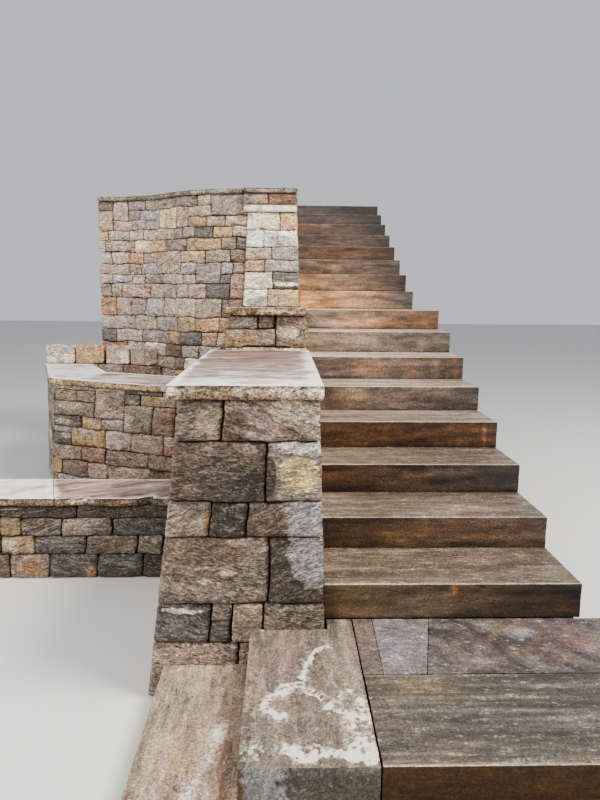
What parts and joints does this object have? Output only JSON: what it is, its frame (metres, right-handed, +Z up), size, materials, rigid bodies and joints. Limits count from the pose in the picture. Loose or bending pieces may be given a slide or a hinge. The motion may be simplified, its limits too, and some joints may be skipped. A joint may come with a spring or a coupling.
{
  "type": "outdoor stone steps",
  "caption": "Straight flight of solid stone block steps with a low landing, a stepped cheek wall with cap slabs, a curved terrace wall, a planter and a garden wall.",
  "frame": {"origin": "ground level, on the centre line of the lower flight, at the face of the first riser", "axes": "+Y runs uphill along the flight, +X to the right of a person who climbs it, +Z up"},
  "size_m": [3.3545, 7.134, 2.52],
  "materials": {
    "footing_rubble": "rough coursed rubble",
    "block_stone": "sawn brown sandstone, streaked",
    "edge_stone": "sawn grey-brown sandstone with pale bloom",
    "landing_stone": "sawn mauve-grey slabs",
    "wall_stone": "split mixed stone in courses",
    "cap_stone": "sawn top with broken edges",
    "pier_stone": "pale split stone",
    "edging_stone": "tumbled warm stone"
  },
  "bodies": {
    "root": {"lower_footing": "footing_rubble", "upper_footing": "footing_rubble", "landing_footing": "footing_rubble", "step_01": "block_stone", "step_02": "block_stone", "step_03": "block_stone", "step_04": "block_stone", "step_05": "block_stone", "step_06": "block_stone", "step_07": "block_stone", "step_08": "block_stone", "step_09": "block_stone", "step_10": "block_stone", "step_11": "block_stone", "step_12": "block_stone", "step_13": "block_stone", "step_14": "block_stone", "step_15": "block_stone", "step_16": "block_stone", "side_block": "edge_stone", "front_block": "edge_stone", "landing_slabs": "landing_stone", "lower_step_side": "edge_stone", "lower_step_front": "edge_stone", "lower_pier": "wall_stone", "lower_cap": "cap_stone", "middle_wall": "wall_stone", "middle_cap": "cap_stone", "upper_pier": "pier_stone", "pier_band": "pier_stone", "pier_head": "pier_stone", "flank_wall": "wall_stone", "terrace_wall_left": "wall_stone", "terrace_wall_right": "wall_stone", "terrace_cap": "cap_stone", "pier_cap": "cap_stone", "flank_cap": "cap_stone", "terrace_ledge": "wall_stone", "edging_blocks": "edging_stone", "planter_front": "wall_stone", "planter_side": "wall_stone", "planter_cap": "cap_stone", "garden_wall": "wall_stone", "garden_cap": "cap_stone"}
  },
  "joints": []
}
